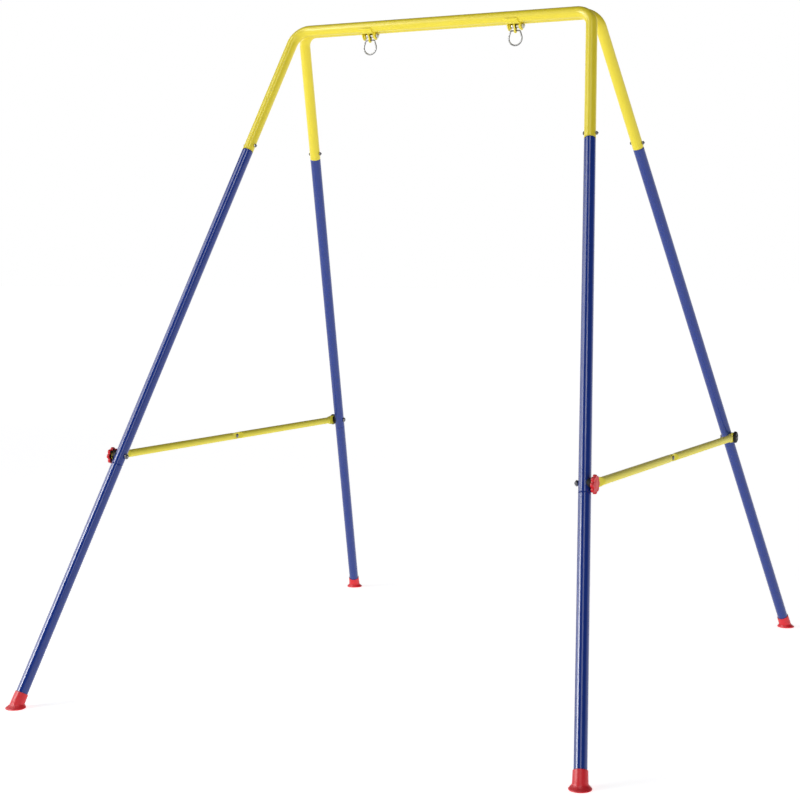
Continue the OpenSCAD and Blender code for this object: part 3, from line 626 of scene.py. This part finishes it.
skin("stud_nuts_zinc",
     [(nut_rows(pivots[-1, 1], -stud_seat - NUT_HEIGHT * STUD_D, STUD_D), True),
      (nut_rows(pivots[-1, -1], stud_seat, STUD_D), True)],
     zinc, "front_frame", ["stud_nuts"])

# Braces: two lengths of thinner tube a side, in a duller yellow coat. Their ends are pressed flat: a hook
# in front for the knob's stud, an eye at the rear, and two tongues that lap on a rivet in the middle.
BRACE_R, HOOK_R, HOOK_FLAT, REAR_FLAT, FLAT_HEIGHT, PRESS = 7.5, 9.0, 32.0, 20.0, 20.0, 16.0
TONGUE, TONGUE_FLAT, TONGUE_HEIGHT, RIVET_D, SLOT_R = 22.0, 12.0, 14.4, 5.0, 3.3
SUNK, SUNK_TAPER, PRESSED_EDGE, FLAT_POWER, RIVET_EDGE = 4.0, 2.0, 0.4, 0.3, 0.1
FOLD, SWING = 53.0, 63.0
brace_coat = powder_coat(
    "brace_powder_coat", (0.80, 0.69, 0.045, 1), (0.85, 0.75, 0.06, 1), 0.4, 0.0, 1.35)
brace_x, brace_y, brace_z = pivots[1, 1]
brace_offset = SADDLE_OUT + BRACE_GAP + FLAT_THICK / 2
tongue_shift = BRACE_GAP / 2 + FLAT_THICK / 2


def pressed_rows(stations):
    """A tube pressed flat at its ends: at each station along Y a ring whose half width and half height
    raise the cosine and sine of the way round to a power, from round (1) to a flat bar (near 0)."""
    y, width, height, power, shift = stations.T[:, :, None]
    way = np.linspace(0, 2 * np.pi, 64, endpoint=False)[None, :]
    cosine, sine = np.cos(way), np.sin(way)
    x = shift + width * np.sign(cosine) * np.abs(cosine) ** power
    z = height * np.sign(sine) * np.abs(sine) ** power
    return np.stack([x, np.broadcast_to(y, x.shape), z], -1)


def press(flat_y, round_y, half_height, shift, count=14):
    """Stations from a flat end to the round tube, eased at both ends. The first is thinner, inside the
    flat, so that the tube grows out of it."""
    t = np.linspace(0, 1, count)
    ease = t * t * (3 - 2 * t)
    hidden = [flat_y - np.sign(round_y - flat_y), FLAT_THICK / 4, half_height - 1, FLAT_POWER, shift]
    return np.concatenate([[hidden], np.stack([
        flat_y + (round_y - flat_y) * t, FLAT_THICK / 2 + (BRACE_R - FLAT_THICK / 2) * ease,
        half_height + (BRACE_R - half_height) * ease, FLAT_POWER + (1 - FLAT_POWER) * ease,
        shift * (1 - ease)], 1)])


def hook_line():
    """The hook's outline, with the stud at the origin: round in front, straight behind, and a slot that
    opens down and slants to the rear, the way that the stud leaves it."""
    leave = np.array([BAR_HEIGHT - HINGE_DROP - brace_z, -brace_y * (1 + 2 * SWING / FOLD)])
    leave /= np.linalg.norm(leave)
    edge = SLOT_R * np.array([-leave[1], leave[0]])
    reach = (-HOOK_R - edge[1]) / leave[1]
    lip = np.arctan2(-np.sqrt(HOOK_R ** 2 - SLOT_R ** 2), -SLOT_R)
    start = np.arctan2(*edge[::-1])
    rim = edge + reach * leave
    deep, low = HOOK_FLAT + SUNK, HOOK_R - SUNK_TAPER
    return np.concatenate([
        [[HOOK_FLAT, -HOOK_R], [deep, -low], [deep, low], [HOOK_FLAT, HOOK_R]],
        arc([0, 0], HOOK_R, np.pi / 2, lip + 2 * np.pi, 30),
        arc([0, 0], SLOT_R, np.pi, start, 24), edge + np.linspace(0.3, 1, 4)[:, None] * (rim - edge)])


def eye_line(radius, length, way):
    """A pressed end: half round past its pin, straight towards its tube, and narrower where it runs on
    inside the tube."""
    turn = arc([0, 0], radius, np.pi / 2, -np.pi / 2, 32)
    deep, low = -length - SUNK, radius - SUNK_TAPER
    tail = [[-length, -radius], [deep, -low], [deep, low], [-length, radius]]
    return np.concatenate([turn, tail]) * [way, 1]


def on_brace(grid, side):
    """Moves points from a brace's own axis to their side of the frame, outside towards the outside."""
    return (grid + [brace_x + brace_offset, 0, brace_z]) * [side, 1, 1]


hook_end, eye_start = -brace_y + HOOK_FLAT, brace_y - REAR_FLAT
half = FLAT_THICK / 2
front_stations = np.concatenate([
    press(hook_end - 1, hook_end + PRESS, HOOK_R, 0),
    press(-TONGUE_FLAT + 1, -TONGUE, TONGUE_HEIGHT / 2, -tongue_shift)[::-1]])
rear_stations = np.concatenate([
    press(TONGUE_FLAT - 1, TONGUE, TONGUE_HEIGHT / 2, tongue_shift),
    press(eye_start + 1, eye_start - PRESS, FLAT_HEIGHT / 2, 0)[::-1]])
hook = sheet_rows(hook_line() + [-brace_y, 0], -half, half, PRESSED_EDGE)
eye = sheet_rows(eye_line(FLAT_HEIGHT / 2, REAR_FLAT, 1) + [brace_y, 0], -half, half, PRESSED_EDGE)
front_tongue, rear_tongue = (
    sheet_rows(eye_line(TONGUE_HEIGHT / 2, TONGUE_FLAT, -way), way * tongue_shift - half,
               way * tongue_shift + half, PRESSED_EDGE) for way in (-1, 1))
seat = tongue_shift + half + SEAT_GAP
rivet_r, rivet_head = RIVET_D / 2, HEAD_WIDTH * RIVET_D / 2
swell = np.linspace(0.01, np.pi / 2, 9)
dome = seat + HEAD_HEIGHT * RIVET_D * np.cos(swell[::-1])
dome_radii = rivet_head * np.sin(swell[::-1])
rivet_rim = rivet_head - RIVET_EDGE
rivet = turned([0, 0, 0], np.concatenate([-dome[::-1], [-seat, -seat, seat, seat], dome]),
               np.concatenate([dome_radii[::-1], [rivet_rim, rivet_r, rivet_r, rivet_rim], dome_radii]))
for side_name, side in SIDES.items():
    for part, rows in (("front", [pressed_rows(front_stations), hook, front_tongue]),
                       ("rear", [pressed_rows(rear_stations), eye, rear_tongue])):
        skin(f"{side_name}_brace_{part}_pressed", [(on_brace(grid, side), False) for grid in rows],
             brace_coat, f"{side_name}_brace_{part}", [f"{side_name}_brace_{part}_tube"])
    skin(f"{side_name}_brace_rivet_zinc", [(on_brace(rivet, side), False)], zinc,
         f"{side_name}_brace_rear", [f"{side_name}_brace_rivet"])

# Star knobs: red moulded nylon shells with eight round lobes, hollow behind round a boss that holds the
# threaded stud. A black nylon filler in the hollow is painted shade, dark where the knob's back is in
# shadow, and a plain washer bears on the brace's hook.
KNOB_R, KNOB_THICK, LOBES, LOBE_R, KNOB_SHELL, KNOB_BOSS_R = 17.0, 6.0, 8, 4.6, 2.0, 7.0
VALLEY, VALLEY_SOFT, KNOB_ROUND, KNOB_EDGE, BOSS_FLARE = 0.72, 3.0, 192, 0.3, 0.6
SHADE_FILLER_SINK = 1.5
WASHER_R, WASHER_THICK, WASHER_EDGE = 8.0, 1.0, 0.2
STUD_IN_KNOB, STUD_PITCH, STUD_CUT = 3.5, 1.0, 0.5
washer_in = cap_in
knob_in = washer_in + BRACE_GAP
boss_in = washer_in + WASHER_THICK + BRACE_GAP


def red_nylon():
    """Glossy moulded nylon: even red with faint flow clouds and a fine skin of moulding texture."""
    material, dye, where = new_finish("red_nylon")
    flow = dye.noise(where, 70.0, 3.0)
    fine = dye.noise(where, 1400.0, 1.0)
    return set_finish(material, dye, fine, 0.00003,
                      Base_Color=dye.between(flow, (0.64, 0.012, 0.020, 1), (0.76, 0.020, 0.031, 1)),
                      Roughness=0.3 + 0.1 * flow, Specular_IOR_Level=0.3)


knob_red = red_nylon()


def star(way):
    """Outline of the lobes: in each eighth, the far side of a circle set out from the middle, or the
    core's circle where that is larger, joined by a soft maximum."""
    off = (way + np.pi / LOBES) % (2 * np.pi / LOBES) - np.pi / LOBES
    out = KNOB_R - LOBE_R
    lobe = out * np.cos(off) + np.sqrt(np.maximum(LOBE_R ** 2 - (out * np.sin(off)) ** 2, 0.0))
    core = KNOB_R - VALLEY * LOBE_R
    return np.log(np.exp(VALLEY_SOFT * (lobe - core)) + 1) / VALLEY_SOFT + core


def knob_place(side, runs, radius):
    """Rings about a knob's axis, at runs out from the knob's back and with radii by the way round."""
    way = np.linspace(0, 2 * np.pi, KNOB_ROUND, endpoint=False)
    ring = np.stack([np.zeros_like(way), np.cos(way), np.sin(way)], -1)
    along = (side * (knob_in + runs))[:, None, None] * np.array([1.0, 0, 0])
    return pivots[-1, side] + along + radius[..., None] * ring


def knob_rows(side):
    """A star shell: rings from the boss's end down to the hollow's floor, out to its wall and back over
    the rim, then across the face to its middle. On the shell each is the star drawn in by a depth, and
    on the boss and the face a plain circle."""
    edge = KNOB_THICK / 3
    floor_run = KNOB_THICK - KNOB_SHELL
    swell = np.linspace(0, np.pi / 2, 7)
    depth = np.concatenate([[KNOB_SHELL, KNOB_SHELL, KNOB_SHELL - KNOB_EDGE, KNOB_EDGE, 0, 0],
                            edge * (1 - np.cos(swell)), [edge + 1.2]])
    run = np.concatenate([[floor_run, KNOB_EDGE, 0, 0, KNOB_EDGE, KNOB_THICK - edge - 0.1],
                          KNOB_THICK - edge + edge * np.sin(swell), [KNOB_THICK - 0.15]])
    way = np.linspace(0, 2 * np.pi, KNOB_ROUND, endpoint=False)
    rim = star(way)[None] - depth[:, None]
    face_run = KNOB_THICK - np.array([0.6, 0.7, 0.55, 0.2, 0.05, 0.0, 0.0])
    face_radius = np.array([10.2, 9.3, 8.3, 7.7, 7.1, 4.0, POLE])
    boss = boss_in - knob_in
    boss_run = np.array([boss, boss, boss + KNOB_EDGE, floor_run - BOSS_FLARE, floor_run])
    boss_radius = KNOB_BOSS_R + np.array([POLE - KNOB_BOSS_R, -KNOB_EDGE, 0, 0, BOSS_FLARE])
    radius = np.concatenate([np.repeat(boss_radius[:, None], len(way), 1), rim,
                             np.repeat(face_radius[:, None], len(way), 1)])
    return knob_place(side, np.concatenate([boss_run, run, face_run]), radius)


def shade_filler_rows(side):
    """The black filler behind the star, painted shade in the hollow: the star drawn in past the shell,
    carried from the hollow's floor to just short of the washer, and back round the boss."""
    rim = star(np.linspace(0, 2 * np.pi, KNOB_ROUND, endpoint=False)) - KNOB_SHELL - SEAT_GAP
    boss = np.full(len(rim), KNOB_BOSS_R + SEAT_GAP)
    floor_run = KNOB_THICK - KNOB_SHELL - SEAT_GAP
    back_run = SHADE_FILLER_SINK
    runs = np.array([floor_run, back_run + KNOB_EDGE, back_run, back_run, back_run, floor_run])
    radius = np.stack([rim, rim, rim - KNOB_EDGE, boss + KNOB_EDGE, boss, boss + BOSS_FLARE + SEAT_GAP])
    return knob_place(side, runs, radius)


def stud_rows(side):
    """A stud along X from its chamfered tip inside the frame to its seat in the knob, with a thread
    whose radius falls and rises once a pitch along and once a turn round, up to the boss."""
    tip, seat, r = stud_seat + NUT_HEIGHT * STUD_D + THREAD_TIP, boss_in + STUD_IN_KNOB, STUD_D / 2
    runs = np.concatenate([[-tip, -tip, -tip + 0.5],
                           np.arange(-tip + 0.6, boss_in + 1, STUD_PITCH / THREAD_STEPS),
                           [boss_in + 2, seat, seat]])
    radii = np.full(len(runs), r)
    radii[:3] = [POLE, r - 0.9, r - 0.3]
    radii[-1] = POLE

    def thread(run, way, radius):
        along = side * run
        cut = (along > -tip + 0.55) & (along < boss_in + 1)
        wave = 0.5 + 0.5 * np.cos(2 * np.pi * along / STUD_PITCH - side * way)
        return radius - cut * STUD_CUT * wave

    return turned(pivots[-1, side], side * runs, radii, thread, 28)


washer_runs = washer_in + WASHER_THICK * np.array([0, 0, WASHER_EDGE, 1 - WASHER_EDGE, 1, 1])
washer_bore, washer_rim = STUD_D / 2 + PIN_GAP, WASHER_R - WASHER_EDGE
washer_radii = np.array([washer_bore, washer_rim, WASHER_R, WASHER_R, washer_rim, washer_bore])
for side_name, side in SIDES.items():
    knob = f"{side_name}_knob"
    # The black filler is painted shade in the knob's hollow.
    skin(knob + "_insert", [(shade_filler_rows(side), True)], nylon, knob, [])
    skin(knob + "_star", [(knob_rows(side), False)], knob_red, knob, [knob])
    skin(knob + "_stud_zinc", [(stud_rows(side), False)], zinc, knob, [knob + "_stud"])
    skin(knob + "_washer_zinc",
         [(turned(pivots[-1, side], side * washer_runs, washer_radii), True)], zinc,
         knob + "_carrier", [knob + "_washer"])

# Studio: a white paper floor that runs out of sight, one soft key lamp from the front left, panels that
# show only in gloss, and the photograph's camera. The floor glows more where the lamp is farther off, so
# that it is even and keeps the object's shadow. The horizon is white and the ceiling dim.
KEY_PLACE, FLOOR_REACH, FILL_REACH = (-2.6, -2.8, 2.2), 60, 12
corners = [(x * FLOOR_REACH, y * FLOOR_REACH, 0) for x, y in ((-1, -1), (1, -1), (1, 1), (-1, 1))]


def grey(level):
    """An opaque grey, the same level in all three colours."""
    return (level, level, level, 1)


floor_mesh = bpy.data.meshes.new("studio_floor")
floor_mesh.from_pydata(corners, [], [(0, 1, 2, 3)])
floor = bpy.data.objects.new("studio_floor", floor_mesh)
bpy.context.scene.collection.objects.link(floor)
floor_material, dye, where = new_finish("studio_white")
paper = dye.node("BsdfDiffuse", Color=grey(0.8))["BSDF"]
lamp_distance = dye.node("VectorMath", {"operation": "DISTANCE"}, Vector=[where, KEY_PLACE])["Value"]
fill = dye.node("ValToRGB", {"stops": [(0.17, grey(0.73)), (0.4, grey(0.815)), (0.85, grey(0.89))]},
                Fac=lamp_distance * (1 / FILL_REACH))["Color"]
glow = dye.node("Emission", Color=fill, Strength=1.0)["Emission"]
dye.node("OutputMaterial", Surface=dye.node("AddShader", Shader=[paper, glow])["Shader"])
floor_mesh.materials.append(floor_material)

world = bpy.data.worlds.new("studio")
bpy.context.scene.world = world
world.use_nodes = True
world.node_tree.nodes.clear()
dye = Dye(world.node_tree)
height = dye.node("SeparateXYZ", Vector=dye.node("TexCoord")["Generated"])["Z"]
sky = dye.node("ValToRGB", {"stops": [(0.0, grey(1)), (0.2, grey(1)), (0.42, (0.10, 0.10, 0.11, 1)),
                                      (1.0, (0.06, 0.06, 0.07, 1))]}, Fac=height)["Color"]
dye.node("OutputWorld", Surface=dye.node("Background", Color=sky, Strength=1.0)["Background"])


def softbox(name, place, target, width, tall, watts, gloss_only=False):
    """A rectangular lamp that faces a point. If for gloss only, it shows in reflections alone."""
    lamp = bpy.data.lights.new(name, "AREA")
    lamp.shape, lamp.size, lamp.size_y, lamp.energy = "RECTANGLE", width, tall, watts
    box = bpy.data.objects.new(name, lamp)
    box.location = place
    box.rotation_euler = (Vector(target) - Vector(place)).to_track_quat("-Z", "Y").to_euler()
    box.visible_diffuse = not gloss_only
    bpy.context.scene.collection.objects.link(box)


softbox("key_softbox", KEY_PLACE, (0.1, -0.4, 0.6), 1.7, 1.8, 52)
softbox("key_gloss", (-2.45, -2.75, 1.9), (0.1, -0.4, 0.5), 1.4, 1.2, 50, True)
softbox("left_gloss", (-3.5, -0.9, 1.7), (0.2, -0.3, 0.8), 2.4, 2.4, 44, True)
softbox("high_left_gloss", (-2.0, -1.6, 3.2), (0.4, -0.2, 0.9), 1.7, 1.6, 34, True)
softbox("front_gloss", (1.5, -3.0, 2.8), (0.2, -0.3, 0.7), 1.2, 2.4, 22, True)
softbox("top_gloss", (0.95, -1.6, 3.3), (0.4, -0.3, 0.8), 0.9, 1.6, 11, True)

camera = bpy.data.objects.new("camera", bpy.data.cameras.new("camera"))
bpy.context.scene.collection.objects.link(camera)
bpy.context.scene.camera = camera
camera.data.lens, camera.data.sensor_width = 76.03, 36.0
camera.location = (1.46555, -3.15593, 0.82164)
aim, drop = np.radians(26.288), np.radians(4.43)
ahead = Vector((-np.sin(aim) * np.cos(drop), np.cos(aim) * np.cos(drop), -np.sin(drop)))
camera.rotation_euler = ahead.to_track_quat("-Z", "Y").to_euler()
bpy.context.scene.view_settings.view_transform = "Standard"
